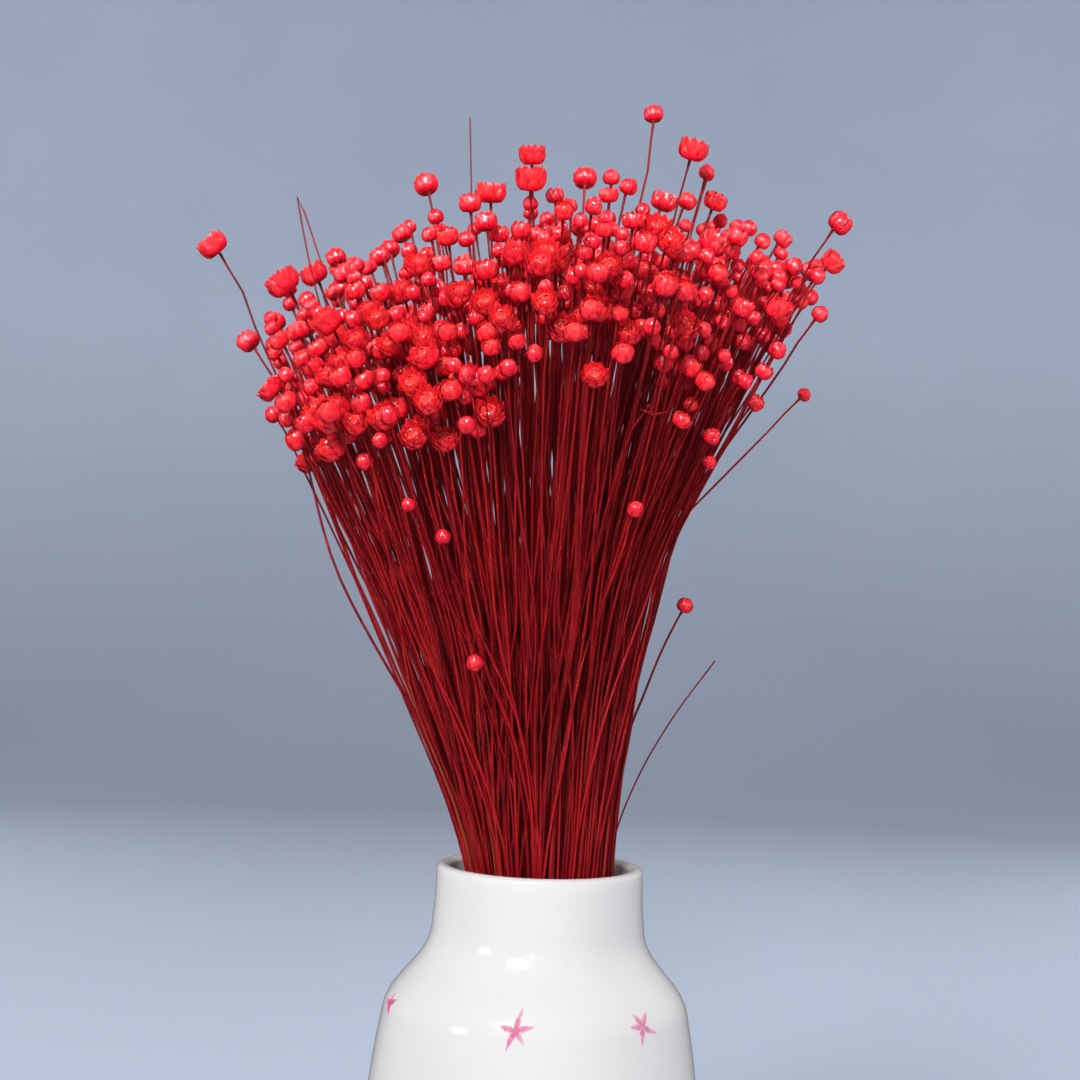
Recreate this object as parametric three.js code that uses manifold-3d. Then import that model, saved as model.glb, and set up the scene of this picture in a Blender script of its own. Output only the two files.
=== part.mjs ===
// A bunch of dried glixia, or star flowers, standing in a glazed ceramic vase.
// Millimetres, +Z up. The origin is the middle of the vase's foot, on the surface
// it stands on, and the front of the bunch faces -Y.
import * as THREE from 'three';
import { mergeVertices } from 'three/addons/utils/BufferGeometryUtils.js';
import Module from 'manifold-3d';

const wasm = await Module();
wasm.setup();

const TURN = 2 * Math.PI;
const UP = new THREE.Vector3(0, 0, 1);

// The vase: a round belly, a steep shoulder and a short straight neck.
const RIM_Z = 165;
const VASE_SIDES = 24;
const FLOOR_Z = 6;
const FOOT_R = 33;
const LIP_R = 25.7;
const MOUTH_INNER_R = 22.2;
const LIP_ROUND = 1.2;
// Radius and height of the points that the outside and the inside pass through, going up.
const VASE_OUTSIDE = [
  [38.5, 15], [43.4, 42], [44.6, 68], [43.4, 90], [40.9, 111],
  [38.6, 126], [36.3, 133.5], [28.0, 144.3], [26.2, 153],
];
const VASE_INSIDE = [[25, FLOOR_Z], [36, 17], [40.6, 62], [36.8, 112], [33.2, 130], [24.2, 144.5]];

// The bunch: stems stand close in the neck and splay above it. A row of values goes round
// the bunch in equal steps, from +X (its right side) by way of +Y (its back).
const WAIST_R = 15;
const MOUTH_R = [19.4, 19, 19, 19.5, 20, 19.5, 19, 19];
// The splay in 100 mm of height: its even part, the part that grows, and how late it grows.
const LEAN = [3, 7, 16, 23, 32, 33, 18, 7];
const FLARE = [14.5, 16, 17, 16, 14, 17, 17, 16];
const FLARE_POWER = [3, 2.5, 2, 2, 2, 2, 2, 2.5];
// Above this height over the rim a stem is straight. The stem of a low head is straight
// for a set length below it.
const STRAIGHT_FROM = [85, 75, 60, 60, 60, 60, 62, 75];
const STRAIGHT_LENGTH = 30;

// The canopy: the highest heads in the middle and at the edge, over the rim, how far
// below them the lowest heads hang, and how sharply the edge falls off.
const CANOPY_CENTRE = 168;
const CANOPY_EDGE = [150, 153, 156, 155, 154, 152, 150, 140, 127, 116, 109, 110, 136, 141, 142, 146];
const CANOPY_DEPTH = [24, 28, 30, 32, 28, 15, 18, 32];
const CANOPY_FALL = [2.2, 2.2, 2.2, 2.0, 1.6, 1.15, 1.8, 1.8];
// The heads crowd together on one side, where the canopy hangs low.
const LOBE_ANGLE = THREE.MathUtils.degToRad(228);
const LOBE_CROWDING = 0.56;

const FIELD_STEMS = 357;
const SEED = 11;
const STEM_R = 0.5;
const OUTERMOST = 0.935;
const GOLDEN_ANGLE = Math.PI * (3 - Math.sqrt(5));
const BUD = 0;
const HALF_OPEN = 1;
const OPEN = 2;
const HEAD_R = [1.85, 2.35, 2.95];
const HEAD_R_SPREAD = [0.5, 0.55, 0.8];
// Each head turns outwards a little more than its stem, and a little at random.
const NOD = [0.25, 0.35, 0.7];
const NOD_SPREAD = 0.5;

// Heads that stand clear of the canopy: x, y, height over the rim, radius and kind.
const STRAYS = [
  [-86, -10, 151, 3.8, OPEN], [-68, -15, 142, 4.3, OPEN], [-37, 45, 176, 3.3, HALF_OPEN],
  [-8, -22, 174, 3.4, OPEN], [-8, -30, 167, 3.7, OPEN], [6, 50, 180, 3.2, HALF_OPEN],
  [24, 50, 198, 2.7, HALF_OPEN], [31, -20, 177, 3.6, OPEN], [39, 45, 181, 1.8, BUD],
  [67, -20, 160, 3.0, HALF_OPEN], [62, -15, 150, 2.0, BUD], [63, -18, 138, 2.2, BUD],
  [66, 35, 122, 1.9, BUD], [-18, 0, 168, 3.7, OPEN], [-23, -5, 164, 2.9, HALF_OPEN],
  [12, 5, 173, 2.3, BUD], [16, -6, 169, 2.4, BUD], [20, -2, 164, 2.0, BUD],
  [31, 0, 167, 2.5, HALF_OPEN], [38, -2, 167, 3.0, HALF_OPEN], [35, -8, 173, 2.1, BUD],
  [-16, -68, 117, 2.1, BUD], [-20, -63, 106, 2.3, BUD], [8, -66, 118, 3.0, OPEN],
  [14, -67, 123, 2.6, HALF_OPEN], [34, -44, 119, 2.5, HALF_OPEN], [44, -34, 120, 2.2, BUD],
  [49, -28, 123, 2.3, HALF_OPEN], [52, -28, 128, 2.2, BUD], [48, -20, 116, 2.3, HALF_OPEN],
  [29, -42, 110, 2.3, HALF_OPEN], [37, -30, 107, 2.2, BUD], [37, -25, 101, 1.9, BUD],
  [-57, -25, 99, 1.7, BUD], [-33, -52, 88, 1.8, BUD], [-25, -49, 81, 1.9, BUD],
  [19, -40, 89, 2.1, BUD], [34, 0, 66, 2.2, BUD], [-17, -39, 52, 2.2, BUD],
];

// The bunch is held as bundles: one in the middle, six round it and twelve outside them.
// Places across the bunch are shares of its radius, from 0 in the middle to 1 outside.
// Where the stems of a bundle are packed close they are one fluted core, and from its
// uneven top, this high over the rim, they stand free.
const RINGS = [
  { name: 'stem_bundle_centre', from: 0, count: 1, coreTop: 68 },
  { name: 'stem_bundle_inner', from: Math.sqrt(1 / 19), count: 6, coreTop: 60 },
  { name: 'stem_bundle_outer', from: Math.sqrt(7 / 19), count: 12, coreTop: 24 },
];
const CORE_TOP_SPREAD = 10;
const BUNDLE_GAP = 0.02;
const STEM_TO_EDGE = 0.05;
const CORE_BOTTOM_Z = FLOOR_Z + 0.4;
const CORE_WAIST_Z = 125;
const CORE_SPLAY_HEIGHT = 30;
const FLUTE_DEPTH = 0.04;
const ROOT_DEPTH = 10;

// A head's outline from the stem up, in head radii. A crown ring has its odd corners
// lower and nearer the axis than its even ones, as the tips of the bracts stand up.
const HEAD_RINGS = [
  [
    { sides: 5, radius: 1.08, height: -0.05 },
    { sides: 1, radius: 0, height: 1 },
  ],
  [
    { sides: 5, radius: 1.08, height: -0.12 },
    { sides: 5, radius: 0.7, height: 0.74 },
    { sides: 1, radius: 0, height: 0.42 },
  ],
  [
    { sides: 5, radius: 0.86, height: -0.3 },
    { sides: 8, radius: 1, height: 0.7, valleyRadius: 0.82, valleyHeight: 0.45 },
    { sides: 1, radius: 0, height: -0.05 },
  ],
];
const NECK_HEIGHT = -0.85;
const STEM_RING = { sides: 3, radius: 1, height: 0 };

// A number from 0 to 1 for one quality of one stem, the same on every run.
function chance(stem, quality) {
  let hash = (Math.imul(stem + 1, 374761393) + Math.imul(quality + SEED, 668265263)) >>> 0;
  hash = Math.imul(hash ^ (hash >>> 13), 1274126177) >>> 0;
  return ((hash ^ (hash >>> 16)) >>> 0) / 4294967296;
}

// A value from a row that goes round the bunch, eased between its steps.
function around(row, angle) {
  const place = ((((angle / TURN) % 1) + 1) % 1) * row.length;
  const first = Math.floor(place);
  const share = 0.5 - 0.5 * Math.cos(Math.PI * (place - first));
  return row[first % row.length] * (1 - share) + row[(first + 1) % row.length] * share;
}

// The bunch's radius at one angle and height.
function bunchRadius(angle, z) {
  const mouth = around(MOUTH_R, angle);
  const lean = around(LEAN, angle);
  const t = (z - RIM_Z) / 100;
  if (t < 0) {
    return WAIST_R + (mouth - WAIST_R) * Math.exp((t * lean) / (mouth - WAIST_R));
  }
  return mouth + lean * t + around(FLARE, angle) * Math.pow(t, around(FLARE_POWER, angle));
}

function place(u, angle, z) {
  const radius = u * bunchRadius(angle, z);
  return new THREE.Vector3(radius * Math.cos(angle), radius * Math.sin(angle), z);
}

// The bundle that a stem belongs to, with the stem kept clear of the bundle's edges.
function bundleOf(u, angle) {
  const ring = RINGS.findLastIndex((row) => u >= row.from);
  const { from, count } = RINGS[ring];
  const to = ring + 1 < RINGS.length ? RINGS[ring + 1].from : 2;
  const kept = THREE.MathUtils.clamp(u, ring ? from + STEM_TO_EDGE : 0, to - STEM_TO_EDGE);
  if (count === 1) {
    return { ring, sector: 0, u: kept, angle };
  }
  const step = TURN / count;
  const turned = THREE.MathUtils.euclideanModulo(angle, TURN);
  const sector = Math.floor(turned / step) % count;
  const middle = (sector + 0.5) * step;
  const room = step / 2 - Math.asin(Math.min(1, STEM_TO_EDGE / kept));
  return { ring, sector, u: kept, angle: middle + THREE.MathUtils.clamp(turned - middle, -room, room) };
}

// A stem with its head. The head's place is where the splay carries it, unless given.
function makeStem(index, u, angle, headZ, radius, kind, given) {
  const stem = { index, headZ, radius, kind, fixed: Boolean(given), ...bundleOf(u, angle) };
  const bendZ = Math.min(RIM_Z + around(STRAIGHT_FROM, stem.angle), headZ - STRAIGHT_LENGTH);
  stem.bend = place(stem.u, stem.angle, bendZ);
  stem.head = given ?? place(stem.u, stem.angle, headZ);
  return stem;
}

function strayStem([x, y, height, radius, kind], index) {
  const z = RIM_Z + height;
  const angle = Math.atan2(y, x);
  const u = Math.min(OUTERMOST, Math.hypot(x, y) / bunchRadius(angle, z));
  return makeStem(index, u, angle, z, radius, kind, new THREE.Vector3(x, y, z));
}

// A stem of the canopy: a sunflower spiral across the bunch, crowded towards the lobe.
function fieldStem(index) {
  const u = Math.sqrt((index + 0.5) / FIELD_STEMS);
  const spiral = index * GOLDEN_ANGLE + (0.2 * (chance(index, 1) - 0.5)) / Math.max(u, 0.2);
  const angle = spiral - LOBE_CROWDING * Math.sin(spiral - LOBE_ANGLE);
  const fall = Math.pow(u, around(CANOPY_FALL, angle));
  const top = CANOPY_CENTRE + (around(CANOPY_EDGE, angle) - CANOPY_CENTRE) * fall;
  const headZ = RIM_Z + top - around(CANOPY_DEPTH, angle) * Math.pow(chance(index, 2), 1.3);
  const front = Math.max(0, Math.cos(angle - LOBE_ANGLE)) * u;
  const pick = chance(index, 3);
  let kind = BUD;
  if (pick < 0.5 + 0.25 * front) {
    kind = HALF_OPEN;
  }
  if (pick < 0.1 + 0.3 * front) {
    kind = OPEN;
  }
  const radius = HEAD_R[kind] + HEAD_R_SPREAD[kind] * chance(index, 4);
  return makeStem(STRAYS.length + index, Math.min(u, OUTERMOST), angle, headZ, radius, kind);
}

// Pushes the heads of the canopy apart until each one clears the other heads
// and the stems that pass it. The stems lean with their heads.
function settle(stems) {
  const rounds = 90;
  const headGap = 0.4;
  const stemGap = 0.9;
  const share = 0.35;
  for (let round = 0; round < rounds; round += 1) {
    const moves = stems.map(() => [0, 0]);
    for (let i = 0; i < stems.length; i += 1) {
      for (let j = 0; j < i; j += 1) {
        const low = stems[i].headZ < stems[j].headZ ? i : j;
        const high = low === i ? j : i;
        const a = stems[low];
        const b = stems[high];
        const t = (a.headZ - b.bend.z) / (b.headZ - b.bend.z);
        const dx = a.head.x - (b.bend.x + (b.head.x - b.bend.x) * t);
        const dy = a.head.y - (b.bend.y + (b.head.y - b.bend.y) * t);
        const reach = a.radius + b.radius + headGap;
        const rise = b.headZ - a.headZ;
        const beside = Math.sqrt(Math.max(0, reach * reach - rise * rise));
        const distance = Math.hypot(dx, dy) + 1e-9;
        const gap = Math.max(a.radius + stemGap, beside) - distance;
        if (gap > 0) {
          const push = (gap * share) / distance;
          moves[low][0] += push * dx;
          moves[low][1] += push * dy;
          moves[high][0] -= push * dx;
          moves[high][1] -= push * dy;
        }
      }
    }
    stems.forEach((stem, k) => {
      if (!stem.fixed) {
        stem.head.x += moves[k][0];
        stem.head.y += moves[k][1];
      }
    });
  }
}

// The corners of a ring round an axis. All rings of one stem start from the same side.
function ringPoints(centre, axis, ring, size, twist) {
  if (ring.sides === 1) {
    return [centre.clone().addScaledVector(axis, ring.height * size)];
  }
  const first = new THREE.Vector3(Math.cos(twist), Math.sin(twist), 0).projectOnPlane(axis).normalize();
  const second = axis.clone().cross(first);
  return Array.from({ length: ring.sides }, (_, k) => {
    const valley = ring.valleyRadius !== undefined && k % 2 === 1;
    const radius = size * (valley ? ring.valleyRadius : ring.radius);
    const height = size * (valley ? ring.valleyHeight : ring.height);
    const turn = (k / ring.sides) * TURN;
    return centre.clone()
      .addScaledVector(axis, height)
      .addScaledVector(first, radius * Math.cos(turn))
      .addScaledVector(second, radius * Math.sin(turn));
  });
}

// A closed solid through rings of any number of corners, given from the bottom up and
// counter-clockwise seen from the top. A ring of one corner is a point.
function loft(rings) {
  const points = rings.flat();
  const starts = rings.map((_, k) => rings.slice(0, k).reduce((sum, ring) => sum + ring.length, 0));
  const faces = [];
  for (let k = 0; k + 1 < rings.length; k += 1) {
    const below = rings[k].length;
    const above = rings[k + 1].length;
    const stepsBelow = below > 1 ? below : 0;
    const stepsAbove = above > 1 ? above : 0;
    let i = 0;
    let j = 0;
    while (i < stepsBelow || j < stepsAbove) {
      const a = starts[k] + (i % below);
      const b = starts[k + 1] + (j % above);
      if (j >= stepsAbove || (i < stepsBelow && (i + 1) / below <= (j + 1) / above)) {
        i += 1;
        faces.push([a, starts[k] + (i % below), b]);
      } else {
        j += 1;
        faces.push([a, starts[k + 1] + (j % above), b]);
      }
    }
  }
  if (rings[0].length === 3) {
    faces.push([0, 2, 1]);
  }
  return new wasm.Manifold(
    new wasm.Mesh({
      numProp: 3,
      vertProperties: new Float32Array(points.flatMap((point) => point.toArray())),
      triVerts: new Uint32Array(faces.flat()),
    }),
  );
}

function coreTopZ(ring, sector) {
  return RIM_Z + RINGS[ring].coreTop + CORE_TOP_SPREAD * chance(sector, 10 + ring);
}

// One stem with its head, as one solid, rooted inside the core.
function stemSolid(stem) {
  const straight = stem.head.clone().sub(stem.bend).normalize();
  const outward = new THREE.Vector3(Math.cos(stem.angle), Math.sin(stem.angle), 0);
  const axis = straight.clone()
    .addScaledVector(outward, NOD[stem.kind] * stem.u)
    .add(new THREE.Vector3(chance(stem.index, 5) - 0.5, chance(stem.index, 6) - 0.5, 0)
      .multiplyScalar(NOD_SPREAD))
    .normalize();
  const twist = TURN * chance(stem.index, 7);
  const neck = stem.head.clone().addScaledVector(axis, NECK_HEIGHT * stem.radius);
  const top = coreTopZ(stem.ring, stem.sector);
  const path = [neck];
  if (top < stem.bend.z) {
    path.unshift(place(stem.u, stem.angle, top - ROOT_DEPTH), stem.bend);
  } else {
    path.unshift(stem.bend.clone().addScaledVector(straight, -ROOT_DEPTH));
  }
  return loft([
    ...path.map((point) => ringPoints(point, UP, STEM_RING, STEM_R, twist)),
    ...HEAD_RINGS[stem.kind].map((ring) => ringPoints(stem.head, axis, ring, stem.radius, twist)),
  ]);
}

// Corners of a core's outline, as shares of the radius and angles, counter-clockwise:
// along the outside of the bundle and back along its inside.
function coreOutline(ring, sector) {
  const { from, count } = RINGS[ring];
  const outermost = ring + 1 === RINGS.length;
  const reach = outermost ? 1 : RINGS[ring + 1].from - BUNDLE_GAP;
  if (count === 1) {
    const corners = 7;
    return Array.from({ length: corners }, (_, k) => [reach, (k / corners) * TURN]);
  }
  const step = TURN / count;
  const middle = (sector + 0.5) * step;
  const arc = (u, corners, depth) => {
    const half = step / 2 - Math.asin(BUNDLE_GAP / u);
    return Array.from({ length: corners }, (_, k) =>
      [u * (1 - depth * (k % 2)), middle - half + (2 * half * k) / (corners - 1)]);
  };
  const outside = arc(reach, outermost ? 7 : 4, outermost ? FLUTE_DEPTH : 0);
  const inside = arc(from + BUNDLE_GAP, outermost ? 3 : 2, 0);
  return [...outside, ...inside.reverse()];
}

function coreSolid(ring, sector) {
  const top = coreTopZ(ring, sector);
  const levels = [CORE_BOTTOM_Z, CORE_WAIST_Z, RIM_Z, RIM_Z + CORE_SPLAY_HEIGHT, top];
  const used = levels.filter((z, k) => k === levels.length - 1 || z < top - CORE_SPLAY_HEIGHT / 2);
  const outline = coreOutline(ring, sector);
  const sections = used.map((z) => outline.map(([u, angle]) => place(u, angle, z)));
  const middleOf = (section) =>
    section.reduce((sum, point) => sum.add(point), new THREE.Vector3()).divideScalar(section.length);
  return loft([[middleOf(sections[0])], ...sections, [middleOf(sections.at(-1))]]);
}

function geometryOf(solid) {
  const mesh = solid.getMesh();
  const geometry = new THREE.BufferGeometry();
  geometry.setAttribute('position', new THREE.BufferAttribute(mesh.vertProperties, 3));
  geometry.setIndex(new THREE.BufferAttribute(mesh.triVerts, 1));
  geometry.computeVertexNormals();
  return geometry;
}

// The vase is a lathe turned from its flat foot, up the outside, over the round lip
// and down the inside to the floor.
function vaseGeometry() {
  const lip = [0, 1, 2].map((k) => {
    const turn = (k / 2) * Math.PI;
    const middle = (LIP_R + MOUTH_INNER_R) / 2;
    const half = (LIP_R - MOUTH_INNER_R) / 2;
    return [middle + half * Math.cos(turn), RIM_Z - LIP_ROUND + LIP_ROUND * Math.sin(turn)];
  });
  const profile = [
    [0, 0],
    [FOOT_R, 0],
    ...VASE_OUTSIDE,
    ...lip,
    ...VASE_INSIDE.toReversed(),
    [0, FLOOR_Z],
  ];
  const lathe = new THREE.LatheGeometry(profile.map(([r, z]) => new THREE.Vector2(r, z)), VASE_SIDES);
  lathe.rotateX(Math.PI / 2);
  lathe.rotateZ(Math.PI / VASE_SIDES);
  lathe.deleteAttribute('normal');
  lathe.deleteAttribute('uv');
  return mergeVertices(lathe, 1e-3);
}

const glaze = new THREE.MeshStandardMaterial({ color: 0xf0eae6, roughness: 0.18, metalness: 0 });
const dried = new THREE.MeshStandardMaterial({ color: 0xd8202e, roughness: 0.45, metalness: 0 });

const group = new THREE.Group();

const vase = new THREE.Mesh(vaseGeometry(), glaze);
vase.name = 'vase';
group.add(vase);

const stems = [
  ...STRAYS.map(strayStem),
  ...Array.from({ length: FIELD_STEMS }, (_, index) => fieldStem(index)),
];
settle(stems);

RINGS.forEach(({ name, count }, ring) => {
  for (let sector = 0; sector < count; sector += 1) {
    const own = stems.filter((stem) => stem.ring === ring && stem.sector === sector);
    const solid = own.reduce((whole, stem) => whole.add(stemSolid(stem)), coreSolid(ring, sector));
    const bundle = new THREE.Mesh(geometryOf(solid), dried);
    bundle.name = count === 1 ? name : `${name}_${String(sector + 1).padStart(2, '0')}`;
    group.add(bundle);
  }
});

export default group;
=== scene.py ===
# The looks of a bunch of dried glixia, or star flowers, in a glazed ceramic vase.
# Lengths are millimetres, as in the part, until MM turns them into Blender's metres.
# The studio and its lights are given in metres.
import math

import bpy
import numpy as np
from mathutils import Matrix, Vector


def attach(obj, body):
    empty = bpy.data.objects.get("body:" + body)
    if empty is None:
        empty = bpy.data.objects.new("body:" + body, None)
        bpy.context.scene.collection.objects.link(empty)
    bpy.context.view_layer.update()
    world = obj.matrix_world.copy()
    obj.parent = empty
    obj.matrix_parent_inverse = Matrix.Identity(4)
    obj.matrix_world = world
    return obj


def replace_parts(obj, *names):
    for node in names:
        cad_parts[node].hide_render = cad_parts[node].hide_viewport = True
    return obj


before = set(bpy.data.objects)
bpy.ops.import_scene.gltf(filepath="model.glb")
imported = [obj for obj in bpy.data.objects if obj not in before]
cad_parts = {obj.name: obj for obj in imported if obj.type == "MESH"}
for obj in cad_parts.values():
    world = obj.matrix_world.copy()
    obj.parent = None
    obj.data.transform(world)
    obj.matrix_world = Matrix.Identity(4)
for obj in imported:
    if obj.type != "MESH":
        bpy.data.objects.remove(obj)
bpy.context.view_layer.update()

MM = 0.001
TURN = 2 * math.pi
UP = np.array([0.0, 0.0, 1.0])

# The vase, as the part has it: radius and height of the points that its wall passes.
RIM_Z = 165.0
FLOOR_Z = 6.0
FOOT_R = 33.0
FOOT_ROUND = 0.8
LIP_R = 25.7
MOUTH_INNER_R = 22.2
LIP_ROUND = 1.2
VASE_OUTSIDE = [
    (38.5, 15), (43.4, 42), (44.6, 68), (43.4, 90), (40.9, 111),
    (38.6, 126), (36.3, 133.5), (28.0, 144.3), (26.2, 153),
]
VASE_INSIDE = [(25, FLOOR_Z), (36, 17), (40.6, 62), (36.8, 112), (33.2, 130), (24.2, 144.5)]
VASE_SIDES = 96
STEPS_BETWEEN_POINTS = 5

# The painted stars: their height, their places round the vase in degrees from the front,
# and one turn in degrees for each, as a hand sets them down. A stroke starts a little beyond
# the star's middle. Its film of paint stands off the glaze and dips into it at the edges.
STAR_Z = 131.3
STAR_PLACES = [-72, -7, 43, 96, 148, 199, 246]
STAR_TURNS = [8, 0, 22, -14, 30, 5, -20]
STROKES = 5
STROKE_START = -0.3
STROKE_LENGTH = 5.2
STROKE_WIDTH = 2.2
STROKE_BEND = 1.0
STROKE_LIFT = 0.07
STROKE_THICKNESS = 0.05
STROKE_EDGE_DIP = 0.1
STROKE_ROWS = 8
STROKE_COLUMNS = 5

# The bunch, as the part has it. A row goes round it in equal steps from +X by way of +Y.
WAIST_R = 15.0
MOUTH_R = [19.4, 19, 19, 19.5, 20, 19.5, 19, 19]
LEAN = [3, 7, 16, 23, 32, 33, 18, 7]
FLARE = [14.5, 16, 17, 16, 14, 17, 17, 16]
FLARE_POWER = [3, 2.5, 2, 2, 2, 2, 2, 2.5]
STRAIGHT_FROM = [85, 75, 60, 60, 60, 60, 62, 75]
STRAIGHT_LENGTH = 30.0
CANOPY_CENTRE = 168.0
CANOPY_EDGE = [150, 153, 156, 155, 154, 152, 150, 140, 127, 116, 109, 110, 136, 141, 142, 146]
CANOPY_DEPTH = [24, 28, 30, 32, 28, 15, 18, 32]
CANOPY_FALL = [2.2, 2.2, 2.2, 2.0, 1.6, 1.15, 1.8, 1.8]
LOBE_ANGLE = math.radians(228)
LOBE_CROWDING = 0.56
FIELD_STEMS = 357
SEED = 11
OUTERMOST = 0.935
GOLDEN_ANGLE = math.pi * (3 - math.sqrt(5))
BUD, HALF_OPEN, OPEN = 0, 1, 2
HEAD_R = [1.85, 2.35, 2.95]
HEAD_R_SPREAD = [0.5, 0.55, 0.8]
NOD = [0.25, 0.35, 0.7]
NOD_SPREAD = 0.5
NECK_HEIGHT = -0.85

# Heads that stand clear of the canopy: x, y, height over the rim, radius and kind.
STRAYS = [
    (-86, -10, 151, 3.8, OPEN), (-68, -15, 142, 4.3, OPEN), (-37, 45, 176, 3.3, HALF_OPEN),
    (-8, -22, 174, 3.4, OPEN), (-8, -30, 167, 3.7, OPEN), (6, 50, 180, 3.2, HALF_OPEN),
    (24, 50, 198, 2.7, HALF_OPEN), (31, -20, 177, 3.6, OPEN), (39, 45, 181, 1.8, BUD),
    (67, -20, 160, 3.0, HALF_OPEN), (62, -15, 150, 2.0, BUD), (63, -18, 138, 2.2, BUD),
    (66, 35, 122, 1.9, BUD), (-18, 0, 168, 3.7, OPEN), (-23, -5, 164, 2.9, HALF_OPEN),
    (12, 5, 173, 2.3, BUD), (16, -6, 169, 2.4, BUD), (20, -2, 164, 2.0, BUD),
    (31, 0, 167, 2.5, HALF_OPEN), (38, -2, 167, 3.0, HALF_OPEN), (35, -8, 173, 2.1, BUD),
    (-16, -68, 117, 2.1, BUD), (-20, -63, 106, 2.3, BUD), (8, -66, 118, 3.0, OPEN),
    (14, -67, 123, 2.6, HALF_OPEN), (34, -44, 119, 2.5, HALF_OPEN), (44, -34, 120, 2.2, BUD),
    (49, -28, 123, 2.3, HALF_OPEN), (52, -28, 128, 2.2, BUD), (48, -20, 116, 2.3, HALF_OPEN),
    (29, -42, 110, 2.3, HALF_OPEN), (37, -30, 107, 2.2, BUD), (37, -25, 101, 1.9, BUD),
    (-57, -25, 99, 1.7, BUD), (-33, -52, 88, 1.8, BUD), (-25, -49, 81, 1.9, BUD),
    (19, -40, 89, 2.1, BUD), (34, 0, 66, 2.2, BUD), (-17, -39, 52, 2.2, BUD),
]

# The bundles that the part holds the bunch as, and the share of the radius they start from.
RINGS = [
    ("stem_bundle_centre", 0.0, 1),
    ("stem_bundle_inner", math.sqrt(1 / 19), 6),
    ("stem_bundle_outer", math.sqrt(7 / 19), 12),
]
STEM_TO_EDGE = 0.05

# More stems than the part has: small buds low in the canopy, and bare stems whose head is lost.
# The buds crowd by turns towards two places round the bunch, each given with how strongly.
SMALL_BUDS = 310
SMALL_BUD_CROWDING = [(LOBE_ANGLE, 0.35), (math.radians(322), 0.6)]
SMALL_BUD_R = 1.75
SMALL_BUD_R_SPREAD = 0.6
SMALL_BUD_CLOSED_SHARE = 0.75
BARE_STEMS = 130

# Stems that bow out of the bunch: the place of the head, then how far out and to the side.
BOWED = [
    ((-71, -15, 116), 5.5, 0.0),
    ((-66, -30, 112), 3.5, -2.0),
    ((-58, -40, 108), -3.0, 7.0),
    ((-45, -45, 100), 0.0, -8.0),
    ((-30, -52, 104), 3.0, 9.0),
    ((20, -45, 120), 2.0, -7.0),
    ((60, 5, 130), 3.0, 5.0),
]
# Bare stems with a route of their own over the rim: x, y and height.
LOOSE_ROUTES = [
    [(14, 8, -30), (18, 11, 2), (24, 15, 20), (33, 20, 36), (44, 26, 51)],
    [(-6, 10, -30), (-8, 16, 20), (-16, 33, 90), (-23, 48, 150), (-26, 54, 196)],
    [(-9, -3, -30), (-14, -5, 15), (-37, -9, 80), (-57, -13, 132), (-64.4, -14, 160.3),
     (-63.6, -14.5, 160.4), (-61, -16, 154), (-58, -18, 146)],
    [(0, -12, -30), (2, -18, 25), (9, -34, 72), (15, -48, 100), (18, -52, 108.5), (20.3, -53, 110.6),
     (21, -53.4, 112.2), (19.6, -53.8, 113), (18.6, -54, 111.9), (19.6, -54, 110.4), (22, -53.6, 110.2),
     (25, -53, 111)],
]

STEM_R = 0.36
STEM_TOP_R = 0.27
STEM_SIDES = 5
# A stem's points: heights over the rim low down, then even steps up to where it is straight,
# and shares of the way to its head from there.
LOWER_POINTS = [-158, -120, -84, -54, -32, -16, -4, 6, 16]
BEND_STEPS = 6
UPPER_POINTS = [0.07, 0.17, 0.29, 0.42, 0.55, 0.68, 0.8, 0.89, 0.96, 1.0]
# A stem strays from its route in small waves, and by one sway to a side halfway up. For x and
# y: the first quality of a stem that its waves and sway are drawn from, and the waves' number.
WAVE = 1.0
SWAY = 3.2
WAVES = [(13, 1.3), (14, 1.9)]
TURN_IN_FROM = 0.8
# How far round the bunch a stem's lower end is turned from its bend, in radians.
SLIGHT_TWIST = 0.3
TWIST = 0.9
TWISTED_SHARE = 0.35

# A head is made of whorls of bracts round a body, in head radii. A curve goes from a bract's
# base to its tip by four (outward, upward) control points. Depth 0 is the outermost whorl.
WHORLS = {
    BUD: [
        dict(count=5, curve=[(0.16, -0.84), (0.9, -0.95), (1.1, -0.2), (0.9, 0.42)], width=0.78, depth=0.0),
        dict(count=5, curve=[(0.2, -0.7), (1.18, -0.6), (1.14, 0.72), (0.06, 0.97)], width=0.74, depth=0.3),
    ],
    HALF_OPEN: [
        dict(count=6, curve=[(0.16, -0.84), (0.95, -0.98), (1.08, -0.3), (0.98, 0.2)], width=0.7, depth=0.0),
        dict(count=7, curve=[(0.2, -0.78), (1.1, -0.8), (1.08, 0.2), (0.88, 0.56)], width=0.6, depth=0.25),
        dict(count=7, curve=[(0.3, -0.5), (1.0, -0.5), (1.0, 0.4), (0.62, 0.76)], width=0.55, depth=0.5),
        dict(count=5, curve=[(0.6, 0.2), (0.72, 0.4), (0.5, 0.6), (0.14, 0.5)], width=0.4, depth=0.8),
    ],
    OPEN: [
        dict(count=8, curve=[(0.16, -0.84), (0.9, -1.0), (1.0, -0.45), (1.06, 0.06)], width=0.56, depth=0.0),
        dict(count=9, curve=[(0.18, -0.8), (0.98, -0.8), (0.92, 0.0), (1.04, 0.44)], width=0.5, depth=0.25),
        dict(count=8, curve=[(0.25, -0.6), (0.84, -0.5), (0.8, 0.15), (0.8, 0.52)], width=0.46, depth=0.5),
        dict(count=7, curve=[(0.5, -0.25), (0.62, 0.05), (0.5, 0.3), (0.3, 0.24)], width=0.4, depth=0.85),
    ],
}
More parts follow.
